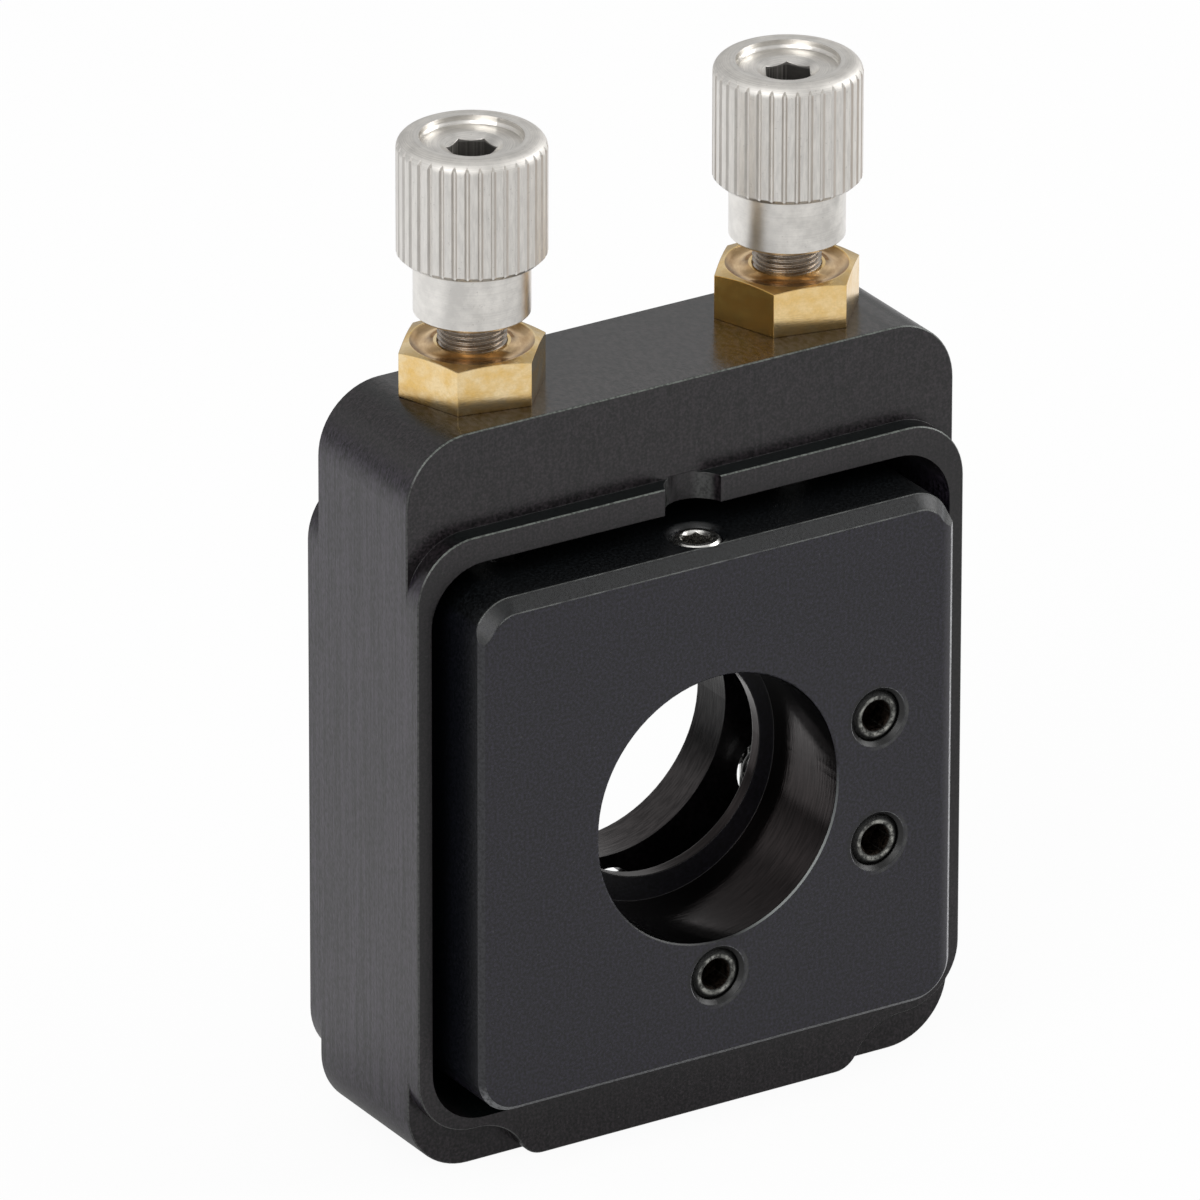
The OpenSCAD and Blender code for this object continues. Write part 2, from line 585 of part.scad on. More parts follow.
frame();
bushing(-1);  // bushing_left
bushing(1);  // bushing_right
at_upper() cross_pin();  // cross_pin_upper
at_lower() cross_pin();  // cross_pin_lower
at_bottom() cross_pin();  // cross_pin_bottom
at_upper() spring();  // spring_upper
at_lower() spring();  // spring_lower
at_bottom() spring();  // spring_bottom
drive_pin_left();
drive_pin_right();
screw(-1);  // screw_left
screw(1);  // screw_right
knob(-1, 30);  // knob_left
knob(1, 0);  // knob_right
ball(1, -1);  // pivot_ball
front_plate();
ball(-1, -1);  // drive_ball_left
ball(1, 1);  // drive_ball_right
at_upper() spring_screw();  // spring_screw_upper
at_lower() spring_screw();  // spring_screw_lower
at_bottom() spring_screw();  // spring_screw_bottom
optic_screw();
optic_tip();
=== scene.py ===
import bpy
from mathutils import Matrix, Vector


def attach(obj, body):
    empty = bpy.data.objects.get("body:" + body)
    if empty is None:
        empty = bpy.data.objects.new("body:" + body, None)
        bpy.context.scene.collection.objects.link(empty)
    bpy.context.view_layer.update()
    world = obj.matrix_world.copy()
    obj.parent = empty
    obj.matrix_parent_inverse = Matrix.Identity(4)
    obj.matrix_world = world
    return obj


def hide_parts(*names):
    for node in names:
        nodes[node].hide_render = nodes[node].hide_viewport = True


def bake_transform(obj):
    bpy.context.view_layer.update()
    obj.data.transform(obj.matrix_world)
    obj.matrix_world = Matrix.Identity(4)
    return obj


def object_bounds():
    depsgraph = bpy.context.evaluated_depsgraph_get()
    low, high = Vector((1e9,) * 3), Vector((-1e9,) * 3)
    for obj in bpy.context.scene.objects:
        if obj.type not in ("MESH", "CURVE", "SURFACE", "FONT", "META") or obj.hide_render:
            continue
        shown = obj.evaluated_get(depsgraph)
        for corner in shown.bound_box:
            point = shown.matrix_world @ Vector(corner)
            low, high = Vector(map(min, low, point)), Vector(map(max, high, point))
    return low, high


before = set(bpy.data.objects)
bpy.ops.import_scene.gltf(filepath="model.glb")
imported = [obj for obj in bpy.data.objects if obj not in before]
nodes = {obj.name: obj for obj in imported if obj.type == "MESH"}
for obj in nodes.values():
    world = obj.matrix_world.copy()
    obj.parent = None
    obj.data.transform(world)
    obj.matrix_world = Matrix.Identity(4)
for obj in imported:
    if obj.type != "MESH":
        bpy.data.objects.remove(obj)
cad_box = [list(v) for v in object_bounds()]

import bpy, bmesh, math
from mathutils import Vector, Matrix

scene = bpy.context.scene
MM = 0.001

# sizes repeated from the part's source, in mm
ADJUSTER_X, ADJUSTER_Y = 8.4, 7.7
SCREW_R, SCREW_PITCH, SCREW_LOW, SCREW_HIGH = 1.5875, 0.254, 16.593, 26.95
FRAME_TOP, BUSHING_TOP, KNURL_Z, KNOB_TOP = 19.85, 22.15, 26.31, 32.11
FLUTES = 36
BORE_R, BORE_DROP, LIP_Y = 6.4, 0.43, 5.4
OPTIC_SCREW_Y = 2.0
SPRINGS = {"upper": (8.6, 2.3), "lower": (8.6, -3.95), "bottom": (0.0, -8.6)}
SPRING_Y0, SPRING_Y1, SPRING_R, SPRING_COILS, WIRE_R = 2.5, 9.88, 1.1, 12, 0.2
HOOK_R, CROSS_PIN_Y = 0.67, 11.0

# the meshes that are made here: lengths in mm, steps round one turn, an angle in degrees
THREAD_DEPTH, THREAD_RAMP, THREAD_STEPS = 0.15, 0.3, 72
COIL_STEPS, WIRE_STEPS, HOOK_STEPS = 28, 10, 20
FRONT_GRIP, REAR_GRIP = 0.7, 0.3
SHARP_ANGLE = 32

BLACK = (0.0, 0.0, 0.0)


# ---------------------------------------------------------------- node helpers
class Mat:
    """Builds a node material. Masks run from 0 to 1, and the names in _mm take their limits in mm."""

    def __init__(self, name):
        self.m = bpy.data.materials.new(name)
        self.m.use_nodes = True
        self.t = self.m.node_tree
        self.t.nodes.clear()
        self.out = self.n("ShaderNodeOutputMaterial")
        self.b = self.n("ShaderNodeBsdfPrincipled")
        self.link(self.b.outputs[0], self.out.inputs[0])
        coords = self.n("ShaderNodeTexCoord")
        self.co = coords.outputs["Object"]
        self.x, self.y, self.z = self.xyz(self.co)
        self.nx, self.ny, self.nz = self.xyz(coords.outputs["Normal"])

    def n(self, kind, **kw):
        node = self.t.nodes.new(kind)
        for k, v in kw.items():
            setattr(node, k, v)
        return node

    def link(self, a, b):
        self.t.links.new(a, b)

    def put(self, sock, v):
        if isinstance(v, bpy.types.NodeSocket):
            self.link(v, sock)
        else:
            sock.default_value = v

    def xyz(self, src):
        n = self.n("ShaderNodeSeparateXYZ")
        self.link(src, n.inputs[0])
        return n.outputs[0], n.outputs[1], n.outputs[2]

    def vec(self, x, y, z):
        n = self.n("ShaderNodeCombineXYZ")
        for s, v in zip(n.inputs, (x, y, z)):
            self.put(s, v)
        return n.outputs[0]

    def scaled(self, sx, sy, sz):
        """Object coordinates times a scale per mm."""
        m = self.n("ShaderNodeMapping")
        self.link(self.co, m.inputs["Vector"])
        m.inputs["Scale"].default_value = (sx / MM, sy / MM, sz / MM)
        return m.outputs[0]

    def noise(self, vec, detail, rough):
        n = self.n("ShaderNodeTexNoise")
        self.link(vec, n.inputs["Vector"])
        n.inputs["Scale"].default_value = 1.0
        n.inputs["Detail"].default_value = detail
        n.inputs["Roughness"].default_value = rough
        return n.outputs["Fac"]

    def math(self, op, a, b=0.0, clamp=False):
        n = self.n("ShaderNodeMath", operation=op, use_clamp=clamp)
        self.put(n.inputs[0], a)
        self.put(n.inputs[1], b)
        return n.outputs[0]

    def abs(self, a):
        return self.math("ABSOLUTE", a)

    def max(self, a, b):
        return self.math("MAXIMUM", a, b)

    def add(self, a, b):
        return self.math("ADD", a, b)

    def sub(self, a, b):
        return self.math("SUBTRACT", a, b)

    def rest(self, a):
        return self.sub(1.0, a)

    def mul(self, a, b, *more):
        v = self.math("MULTIPLY", a, b)
        for k in more:
            v = self.math("MULTIPLY", v, k)
        return v

    def length(self, a, b):
        return self.math("SQRT", self.add(self.mul(a, a), self.mul(b, b)))

    def weigh(self, a, b, share):
        """A share of a and the rest of b."""
        return self.add(self.mul(a, share), self.mul(b, 1 - share))

    def span(self, v, a, b, lo=0.0, hi=1.0):
        """Clamped map of v from a..b to lo..hi."""
        n = self.n("ShaderNodeMapRange")
        self.put(n.inputs[0], v)
        for s, k in zip(n.inputs[1:5], (a, b, lo, hi)):
            s.default_value = k
        return n.outputs[0]

    def span_mm(self, v, a, b, lo=0.0, hi=1.0):
        return self.span(v, a * MM, b * MM, lo, hi)

    def band(self, v, a, b, soft):
        """1 between a and b, falling to 0 over soft outside."""
        return self.mul(self.span(v, a - soft, a), self.span(v, b, b + soft, 1.0, 0.0))

    def band_mm(self, v, a, b, soft):
        return self.band(v, a * MM, b * MM, soft * MM)

    def radius(self, a, b, ca, cb):
        """Distance in metres of (a, b) from the point (ca, cb), given in mm."""
        return self.length(self.sub(a, ca * MM), self.sub(b, cb * MM))

    def mix(self, fac, a, b):
        n = self.n("ShaderNodeMix", data_type="RGBA")
        self.put(n.inputs[0], fac)
        for s, v in ((n.inputs[6], a), (n.inputs[7], b)):
            self.put(s, v if isinstance(v, bpy.types.NodeSocket) else (*v, 1))
        return n.outputs[2]

    def bevel(self, r):
        n = self.n("ShaderNodeBevel", samples=6)
        n.inputs[0].default_value = r * MM
        return n.outputs[0]

    def bump(self, height, strength, depth, normal=None):
        """Bump with its depth in mm."""
        n = self.n("ShaderNodeBump")
        self.link(height, n.inputs["Height"])
        n.inputs["Strength"].default_value = strength
        n.inputs["Distance"].default_value = depth * MM
        if normal is not None:
            self.link(normal, n.inputs["Normal"])
        return n.outputs[0]

    def done(self, color, rough, metal, normal=None, **more):
        given = {"Base Color": color, "Roughness": rough, "Metallic": metal, **more}
        if normal is not None:
            given["Normal"] = normal
        for name, v in given.items():
            self.put(self.b.inputs[name.replace("_", " ")], v)
        return self.m


def shade(color, k):
    return tuple(c * k for c in color)


# ---------------------------------------------------------------- black anodised aluminium
def hole_wall(m, front, back):
    """Mask of the round walls on the optic axis between two depths in mm."""
    return m.mul(m.span_mm(m.radius(m.x, m.z, 0, 0), 7.0, 7.05, 1, 0),
                 m.span(m.abs(m.ny), 0.3, 0.4, 1, 0), m.band_mm(m.y, front, back, 0.001))


def anodised(name, dark, pale, grain):
    """Returns the helper and its tone, base colour, edge-break mask for rubbed marks and painted
    highlights, and bump height.
    """
    m = Mat(name)
    streak = m.noise(m.scaled(7.5, 7.5, 0.8), 2, 0.5)
    fine = m.noise(m.scaled(7, 7, 7), 1, 0.6)
    speck = m.noise(m.scaled(4.6, 4.6, 4.6), 1, 0.4)
    tone = m.weigh(m.span(streak, 0.38, 0.72), m.span(fine, 0.38, 0.72), grain)
    col = m.mix(tone, dark, pale)
    # a few dust specks
    col = m.mix(m.mul(m.span(speck, 0.765, 0.785), 0.3), col, (0.07, 0.07, 0.07))
    # the breaks along the front and back edges, patchy: rubbed marks and painted highlights
    ny = m.abs(m.ny)
    edge_wear_and_highlight = m.mul(m.span(ny, 0.45, 0.6), m.span(ny, 0.85, 0.95, 1, 0), m.span(fine, 0.35, 0.6, 0.35, 1))
    return m, tone, col, edge_wear_and_highlight, m.weigh(streak, fine, grain)


def anodised_done(m, col, rough, wall, height, rings, strength, normal):
    """Inside a bore the base is metal and its turned rings take the place of the grain."""
    height = m.add(m.mul(height, m.rest(wall)), m.mul(rings, wall, 1.5))
    return m.done(col, rough, wall, m.bump(height, strength, 0.02, normal), IOR=1.5)


def frame_material():
    m, tone, col, edge_wear_and_highlight, height = anodised("black_anodised_brushed", (0.0002, 0.0, 0.0002),
                                          (0.024, 0.0185, 0.022), 0.25)
    # the block is darker at the pocket's height
    col = m.mix(m.mul(m.band_mm(m.z, -8, 13.5, 1.2), 0.45), col, (0.0005, 0.0005, 0.0005))
    # upright brush marks and dark nicks on the left and right sides
    side = m.mul(m.span(m.abs(m.nx), 0.8, 0.95), m.span_mm(m.abs(m.x), 13, 13.1))
    brush = m.weigh(m.noise(m.scaled(9, 9, 0.15), 1, 0.5), m.noise(m.scaled(9, 9, 4), 1, 0.5), 0.5)
    nick = m.noise(m.scaled(8, 8, 3), 0, 0.5)
    brushed = m.mix(m.span(brush, 0.36, 0.64), (0.0, 0.0, 0.001), (0.036, 0.0295, 0.0425))
    col = m.mix(m.mul(side, 0.9), col, brushed)
    col = m.mix(m.mul(side, m.span(nick, 0.7, 0.73), 0.8), col, BLACK)
    # rubbed marks with a painted highlight on the breaks, paler where they face up
    wear_and_highlight_col = m.mix(m.span(m.nz, 0.3, 0.5), (0.05, 0.052, 0.05), (0.12, 0.135, 0.12))
    col = m.mix(m.mul(edge_wear_and_highlight, 0.85), col, wear_and_highlight_col)
    # painted shade on the level faces, and the coarser grain of the top, which replaces it there
    level = m.span(m.nz, 0.9, 0.99)
    top = m.mul(level, m.span_mm(m.z, FRAME_TOP - 0.15, FRAME_TOP - 0.05))
    grains = m.noise(m.scaled(5.5, 2.6, 5), 0, 0.5)
    ledge = m.mix(m.span(tone, 0, 1), (0.0008, 0.0018, 0.002), (0.006, 0.0085, 0.008))
    col = m.mix(level, col, ledge)
    col = m.mix(top, col, m.mix(m.span(grains, 0.3, 0.7), BLACK, (0.019, 0.0155, 0.0165)))
    # the aperture's wall, with painted light towards its lower end
    wall = hole_wall(m, 9.4, 12.0)
    rings = m.noise(m.scaled(1.2, 8, 1.2), 3, 0.6)
    low = m.span_mm(m.z, -2.0, -5.5)
    turned = m.mix(m.span(rings, 0.38, 0.62),
                   m.mix(low, (0.006, 0.0055, 0.0057), (0.046, 0.042, 0.042)),
                   m.mix(low, (0.014, 0.013, 0.0132), (0.086, 0.078, 0.078)))
    col = m.mix(wall, col, turned)
    rough = m.sub(m.span(tone, 0, 1, 0.29, 0.37), m.add(m.mul(top, 0.12), m.mul(wall, 0.1)))
    return anodised_done(m, col, rough, wall, height, rings, 0.35, m.bevel(0.05))


def plate_material():
    m, tone, col, edge_wear_and_highlight, height = anodised("black_anodised_matte", (0.0002, 0.0, 0.0014),
                                          (0.0155, 0.0135, 0.0255), 0.1)
    # painted shade on the top edge and the sides, which lie in the pocket
    upward = m.span(m.nz, 0.3, 0.5)
    col = m.mix(upward, col, m.mix(tone, (0.0, 0.0002, 0.0004), (0.004, 0.0052, 0.0064)))
    sides = m.span(m.abs(m.nx), 0.85, 0.95)
    col = m.mix(m.mul(sides, 0.75), col, (0.0015, 0.0025, 0.0035))
    # a painted highlight: a pale strip down the face's right edge
    right_edge_highlight = m.mul(m.span(m.ny, -0.9, -0.98), m.math("POWER", m.span_mm(m.x, 11.95, 12.5), 1.6))
    col = m.mix(m.mul(right_edge_highlight, 0.9), col, (0.06, 0.058, 0.064))
    # rubbed marks and painted highlights on the breaks: bright to the right and below, brightest down
    # the right side, faint round the bore
    edge_wear_and_highlight = m.mul(edge_wear_and_highlight, m.rest(upward))
    mouth = m.span_mm(m.radius(m.x, m.z, 0, -BORE_DROP / 2), BORE_R + 0.45, BORE_R + 0.5, 1, 0)
    edge_wear_and_highlight = m.mul(edge_wear_and_highlight, m.span(mouth, 0, 1, 1, 0.12))
    rightmost = m.mul(m.span(m.nx, 0.35, 0.6), m.span_mm(m.z, 11.4, 10.8))
    bright = m.max(m.span(m.nx, 0.1, 0.4), m.span(m.nz, -0.1, -0.4))
    wear_and_highlight_col = m.mix(bright, (0.02, 0.021, 0.023),
                 m.mix(rightmost, (0.17, 0.175, 0.18), (0.42, 0.42, 0.44)))
    col = m.mix(m.mul(edge_wear_and_highlight, 0.75), col, wear_and_highlight_col)
    # painted highlight lines along both edges of the top bevel, broken up by noise
    patchy = m.noise(m.scaled(1.1, 1.1, 1.1), 2, 0.5)
    turned = m.n("ShaderNodeVectorMath", operation="DOT_PRODUCT")
    m.link(m.bevel(0.09), turned.inputs[0])
    m.link(m.n("ShaderNodeNewGeometry").outputs["True Normal"], turned.inputs[1])
    lines = m.mul(m.span(turned.outputs["Value"], 0.996, 0.97), m.span_mm(m.z, 11.7, 11.8),
                  m.span_mm(m.y, 0.9, 0.8), m.span(patchy, 0.35, 0.6, 0.35, 1))
    col = m.mix(lines, col, (0.15, 0.157, 0.15))
    # the bore: reamed smooth, fine rings, brownish dye
    wall = hole_wall(m, 0.05, 6.1)
    rings = m.noise(m.scaled(0.8, 8, 0.8), 3, 0.6)
    brown = m.mix(m.span(rings, 0.35, 0.65), (0.017, 0.0142, 0.0140), (0.032, 0.0265, 0.0265))
    col = m.mix(wall, col, brown)
    # a painted highlight on the break of the bore's mouth, on the lower right
    mouth_break = m.mul(m.span_mm(m.radius(m.x, m.z, 0, -BORE_DROP), BORE_R + 0.2, BORE_R + 0.15),
                        m.span_mm(m.y, 0.12, 0.1), m.band(m.abs(m.ny), 0.4, 0.92, 0.05))
    lower_right = m.mul(m.span_mm(m.x, 0.8, 3.0), m.span_mm(m.z, 0.5, -4.0))
    col = m.mix(m.mul(mouth_break, lower_right, 0.9), col, (0.20, 0.215, 0.21))
    # the lip's face lies in the bore's shade
    lip = m.mul(m.span(m.abs(m.ny), 0.9, 0.95), m.band_mm(m.y, LIP_Y - 0.1, LIP_Y + 0.1, 0.01))
    col = m.mix(m.mul(lip, 0.7), col, (0.001, 0.001, 0.0015))
    # round each spring screw: painted light at the lower right, painted shade at the left, and painted
    # shade in the hole
    face = m.span(m.ny, -0.9, -0.6, 1, 0)
    patch = m.noise(m.scaled(2.2, 2.2, 2.2), 3, 0.6)
    for cx, cz in SPRINGS.values():
        rr = m.radius(m.x, m.z, cx, cz)
        aside = m.sub(m.sub(m.x, cx * MM), m.mul(m.sub(m.z, cz * MM), 0.6))
        countersink_light_and_shade = m.mul(m.band_mm(rr, 1.2, 1.62, 0.05), m.span(patch, 0.38, 0.6, 0.3, 1), face)
        col = m.mix(m.mul(countersink_light_and_shade, m.span_mm(aside, 0.3, 1.2), 0.8), col, (0.038, 0.039, 0.037))
        col = m.mix(m.mul(countersink_light_and_shade, m.span_mm(aside, -0.3, -1.2), 0.9), col, BLACK)
        hole = m.mul(m.span_mm(rr, 1.49, 1.46), m.span_mm(m.y, 0.02, 0.05))
        col = m.mix(hole, col, (0.003, 0.003, 0.003))
    rough = m.sub(m.span(tone, 0, 1, 0.36, 0.44), m.mul(wall, 0.25))
    # the top bevel is blended into the face and round the corners
    soft = m.bevel(0.22)
    m.link(m.span_mm(m.z, 11.2, 12, 0.08 * MM, 0.24 * MM), soft.node.inputs[0])
    return anodised_done(m, col, rough, wall, height, rings, 0.25, soft)


# ---------------------------------------------------------------- metals and nylon
def round_adjuster(m):
    """Radius in metres and turn about the upright axis of the nearer adjuster."""
    dx = m.sub(m.x, m.mul(m.math("SIGN", m.x), ADJUSTER_X * MM))
    dy = m.sub(m.y, ADJUSTER_Y * MM)
    return m.length(dx, dy), m.math("ARCTAN2", dy, dx)


def knob_material():
    """Turned stainless steel with fine lathe rings, and straight flutes on the knurl."""
    base, rough = (0.78, 0.755, 0.715), 0.31
    m = Mat("stainless_turned")
    rr, turn = round_adjuster(m)
    ring = m.noise(m.vec(m.mul(rr, 22 / MM), m.mul(m.z, 22 / MM), m.mul(turn, 0.8)), 3, 0.6)
    patch = m.noise(m.scaled(1.3, 1.3, 1.3), 4, 0.6)
    streak = m.noise(m.scaled(7, 7, 1.0), 3, 0.65)
    knurl = m.mul(m.band_mm(m.z, KNURL_Z + 0.05, KNOB_TOP - 0.45, 0.05), m.span_mm(rr, 3.2, 3.25))
    lands = m.mix(m.span(streak, 0.35, 0.65), shade(base, 0.86), shade(base, 1.04))
    # lathe rings, weaker on the collar below the knurl
    collar = m.mul(m.span_mm(m.z, KNURL_Z, KNURL_Z - 0.05), m.span(m.abs(m.nz), 0.5, 0.4))
    share = m.span(collar, 0, 1, 0.6, 0.25)
    mottle = m.add(m.mul(ring, share), m.mul(patch, m.rest(share)))
    rings = m.mix(m.span(mottle, 0.38, 0.62), shade(base, 0.8), shade(base, 1.05))
    col = m.mix(knurl, rings, lands)
    # each flute: painted shade on the left flank, a painted highlight in the middle and a painted warm
    # brown on the right flank
    t = m.math("FRACT", m.add(m.mul(turn, FLUTES / (2 * math.pi)), float(FLUTES)))
    for low, high, amount, tint in ((0.30, 0.40, 0.45, (0.30, 0.28, 0.26)),
                                    (0.45, 0.56, 0.6, (0.97, 0.96, 0.94)),
                                    (0.62, 0.70, 0.5, (0.42, 0.32, 0.25))):
        col = m.mix(m.mul(m.band(t, low, high, 0.03), knurl, amount), col, tint)
    # dull specks
    pits = m.noise(m.scaled(6, 6, 6), 2, 0.7)
    col = m.mix(m.mul(m.span(pits, 0.66, 0.72), 0.35), col, (0.35, 0.32, 0.29))
    # the socket: painted shade, with painted highlights in a few pale stripes on the walls that face
    # right
    socket = m.mul(m.span_mm(rr, 1.22, 1.26, 1, 0),
                   m.span_mm(m.z, KNOB_TOP - 0.75, KNOB_TOP - 0.6, 1, 0), m.span_mm(m.z, 29, 29.1))
    stripes = m.span(m.noise(m.vec(m.mul(turn, 9), 0.0, 0.0), 1, 0.5), 0.4, 0.6, 0.12, 1)
    walls = m.mix(m.mul(m.span(m.nx, -0.7, 0.6), stripes), (0.012, 0.009, 0.007), (0.50, 0.47, 0.43))
    col = m.mix(m.mul(socket, 0.9), col, walls)
    # painted highlights on the flanks, and painted shade on the left wall of the dish
    flanks = m.mul(m.span(m.abs(m.nx), 0.45, 0.95), m.span_mm(rr, 2.5, 2.55), 0.3)
    col = m.mix(flanks, col, (0.99, 0.97, 0.94))
    dish = m.mul(m.band_mm(rr, 2.2, 2.42, 0.02), m.span(m.nx, 0.3, 0.7), m.span_mm(m.z, 31, 31.1))
    col = m.mix(m.mul(dish, 0.8), col, (0.24, 0.225, 0.20))
    # the knurl and the chamfer above it are duller
    chamfer = m.mul(m.span_mm(m.z, KNOB_TOP - 0.55, KNOB_TOP - 0.5), m.span_mm(rr, 2.6, 2.7))
    r = m.add(m.span(patch, 0.3, 0.7, rough, rough + 0.04),
              m.max(m.mul(knurl, 0.13), m.mul(chamfer, 0.24)))
    h = m.add(m.mul(ring, m.rest(knurl), 0.15), m.mul(streak, knurl))
    return m.done(col, r, m.rest(m.mul(socket, 0.4)), m.bump(h, 0.3, 0.008, m.bevel(0.04)))


def plain_steel(name, base, rough, scale=(3, 3, 3), spread=0.14):
    m = Mat(name)
    v = m.noise(m.scaled(*scale), 4, 0.6)
    t = m.weigh(v, m.noise(m.scaled(9, 9, 9), 2, 0.6), 0.6)
    col = m.mix(m.span(t, 0.35, 0.65), shade(base, 1 - spread), base)
    r = m.span(v, 0.3, 0.7, rough - 0.04, rough + 0.06)
    return m.done(col, r, 1.0, m.bump(t, 0.3, 0.01, m.bevel(0.04)))


def optic_screw_material():
    """A bright ring round the socket, a painted highlight on the top face; grey threads under a thin
    coat of oil.
    """
    m = Mat("stainless_setscrew")
    rr = m.radius(m.x, m.y, 0, OPTIC_SCREW_Y)
    v = m.noise(m.scaled(5, 5, 5), 3, 0.6)
    # a painted highlight: a bright ring on the top face round the socket
    ring = m.mul(m.band_mm(rr, 0.72, 1.1, 0.05), m.span_mm(m.z, 12.3, 12.4))
    col = m.mix(m.span(v, 0.35, 0.65), (0.36, 0.35, 0.33), (0.55, 0.54, 0.51))
    col = m.mix(m.mul(ring, 0.85), col, (0.93, 0.92, 0.88))
    return m.done(col, m.span(v, 0.3, 0.7, 0.2, 0.32), 1.0, m.bump(v, 0.3, 0.01, m.bevel(0.05)))


def brass_material():
    """Machined brass: mottled faces, a painted dark brown reflection in the trough and painted dark
    brown shade by the foot.
    """
    m = Mat("brass_machined")
    rr, turn = round_adjuster(m)
    patch = m.noise(m.scaled(1.1, 1.1, 1.4), 4, 0.55)
    fine = m.noise(m.scaled(7, 7, 7), 2, 0.7)
    mill = m.noise(m.scaled(1.6, 1.6, 12), 3, 0.6)
    col = m.mix(m.span(patch, 0.40, 0.68), (0.88, 0.69, 0.40), (0.84, 0.56, 0.20))
    # the right bushing is a little deeper in colour, with painted warm orange light on its faces that
    # look left
    col = m.mix(m.span_mm(m.x, 0.0, 1, 0, 0.4), col, (0.86, 0.58, 0.22))
    orange = m.mix(m.span(patch, 0.4, 0.65), (1.0, 0.50, 0.075), (0.95, 0.60, 0.14))
    col = m.mix(m.mul(m.span_mm(m.x, 0.0, 1), m.span(m.nx, -0.3, -0.6), 0.85), col, orange)
    col = m.mix(m.mul(m.span(fine, 0.35, 0.65, 1, 0), 0.25), col, (0.62, 0.42, 0.17))
    # painted shade in dark brown by the foot, where the bushing stands on the frame
    foot = m.mul(m.span_mm(m.z, FRAME_TOP, FRAME_TOP + 0.75, 1, 0), m.span(patch, 0.35, 0.6, 0.35, 1))
    col = m.mix(m.mul(foot, 0.8), col, (0.45, 0.25, 0.07))
    # a painted dark reflection of the collar above, brown and swirled, in the trough
    trough = m.mul(m.span_mm(rr, 2.86, 2.80), m.span_mm(m.z, BUSHING_TOP - 0.26, BUSHING_TOP - 0.24),
                   m.span_mm(m.z, BUSHING_TOP - 0.004, BUSHING_TOP, 1, 0))
    swirl = m.noise(m.vec(m.mul(rr, 1.6 / MM), m.mul(turn, 1.2), m.mul(m.z, 1.6 / MM)), 3, 0.6)
    trough_reflection = m.mix(m.span(swirl, 0.35, 0.68), (0.30, 0.16, 0.06), (0.75, 0.53, 0.30))
    col = m.mix(m.mul(trough, 0.85), col, trough_reflection)
    r = m.sub(m.span(patch, 0.3, 0.7, 0.17, 0.27), m.mul(trough, 0.06))
    return m.done(col, r, 1.0, m.bump(m.weigh(mill, fine, 0.6), 0.3, 0.012, m.bevel(0.06)))


def spring_screw_material(name, cx, cz):
    """Blackened setscrew: rough ring rubbed pale, brown-black socket."""
    m = Mat("black_oxide_" + name)
    rr = m.radius(m.x, m.z, cx, cz)
    v = m.noise(m.scaled(5, 5, 5), 4, 0.7)
    big = m.noise(m.scaled(1.4, 1.4, 1.4), 2, 0.5)
    col = m.mix(m.span(v, 0.35, 0.62), (0.003, 0.003, 0.0025), (0.055, 0.057, 0.052))
    edge = m.mul(m.band_mm(rr, 0.86, 0.95, 0.07), m.span_mm(m.y, 0.5, 0.4))
    patchy = m.mul(edge, m.span(v, 0.42, 0.6, 0.12, 1), m.span(big, 0.35, 0.6, 0.35, 1))
    col = m.mix(patchy, col, (0.36, 0.36, 0.33))
    # the socket darker, in brown-black
    hole = m.span_mm(rr, 0.80, 0.75)
    socket_col = m.mix(m.span(v, 0.4, 0.65), (0.003, 0.002, 0.0015), (0.03, 0.022, 0.017))
    col = m.mix(m.mul(hole, 0.97), col, socket_col)
    rim = m.mul(m.span_mm(rr, 0.99, 1.06), m.span(v, 0.35, 0.5, 0.6, 1))
    col = m.mix(m.mul(rim, 0.8), col, (0.004, 0.004, 0.004))
    r = m.add(m.span(v, 0.3, 0.7, 0.38, 0.6), m.mul(hole, 0.2))
    return m.done(col, r, m.span(hole, 0, 1, 0.5, 1), m.bump(v, 0.8, 0.05, m.bevel(0.08)))


def nylon_material():
    m = Mat("nylon_natural")
    v = m.noise(m.scaled(2, 2, 2), 4, 0.6)
    return m.done(m.mix(v, (0.72, 0.70, 0.62), (0.86, 0.85, 0.80)), 0.45, 0.0,
                  m.bump(v, 0.2, 0.02), Subsurface_Weight=0.2)


M = {"frame": frame_material(), "plate": plate_material(), "knob": knob_material(),
     "brass": brass_material(), "optic_screw": optic_screw_material(), "nylon": nylon_material(),
     "thread": plain_steel("steel_thread", (0.46, 0.41, 0.36), 0.26, (2, 2, 9), 0.3),
     "pin": plain_steel("ground_steel", (0.62, 0.62, 0.61), 0.2),
     "wire": plain_steel("spring_wire", (0.78, 0.78, 0.77), 0.14)}
for name, (cx, cz) in SPRINGS.items():
    M["screw_" + name] = spring_screw_material(name, cx, cz)

look = {"frame": "frame", "front_plate": "plate", "bushing_left": "brass", "bushing_right": "brass",
        "knob_left": "knob", "knob_right": "knob", "screw_left": "thread", "screw_right": "thread",
        "optic_screw": "optic_screw", "optic_tip": "nylon"}
for n, o in nodes.items():
    kind = look.get(n, "pin")
    if n.startswith("spring_screw_"):
        kind = "screw_" + n[len("spring_screw_"):]
    elif n.startswith("spring_"):
        kind = "wire"
    for s in o.material_slots:
        s.material = M[kind]


# ---------------------------------------------------------------- own meshes
def mesh_object(name, bm, material):
    me = bpy.data.meshes.new(name)
    bm.to_mesh(me)
    bm.free()
    me.materials.append(material)
    o = bpy.data.objects.new(name, me)
    scene.collection.objects.link(o)
    return o


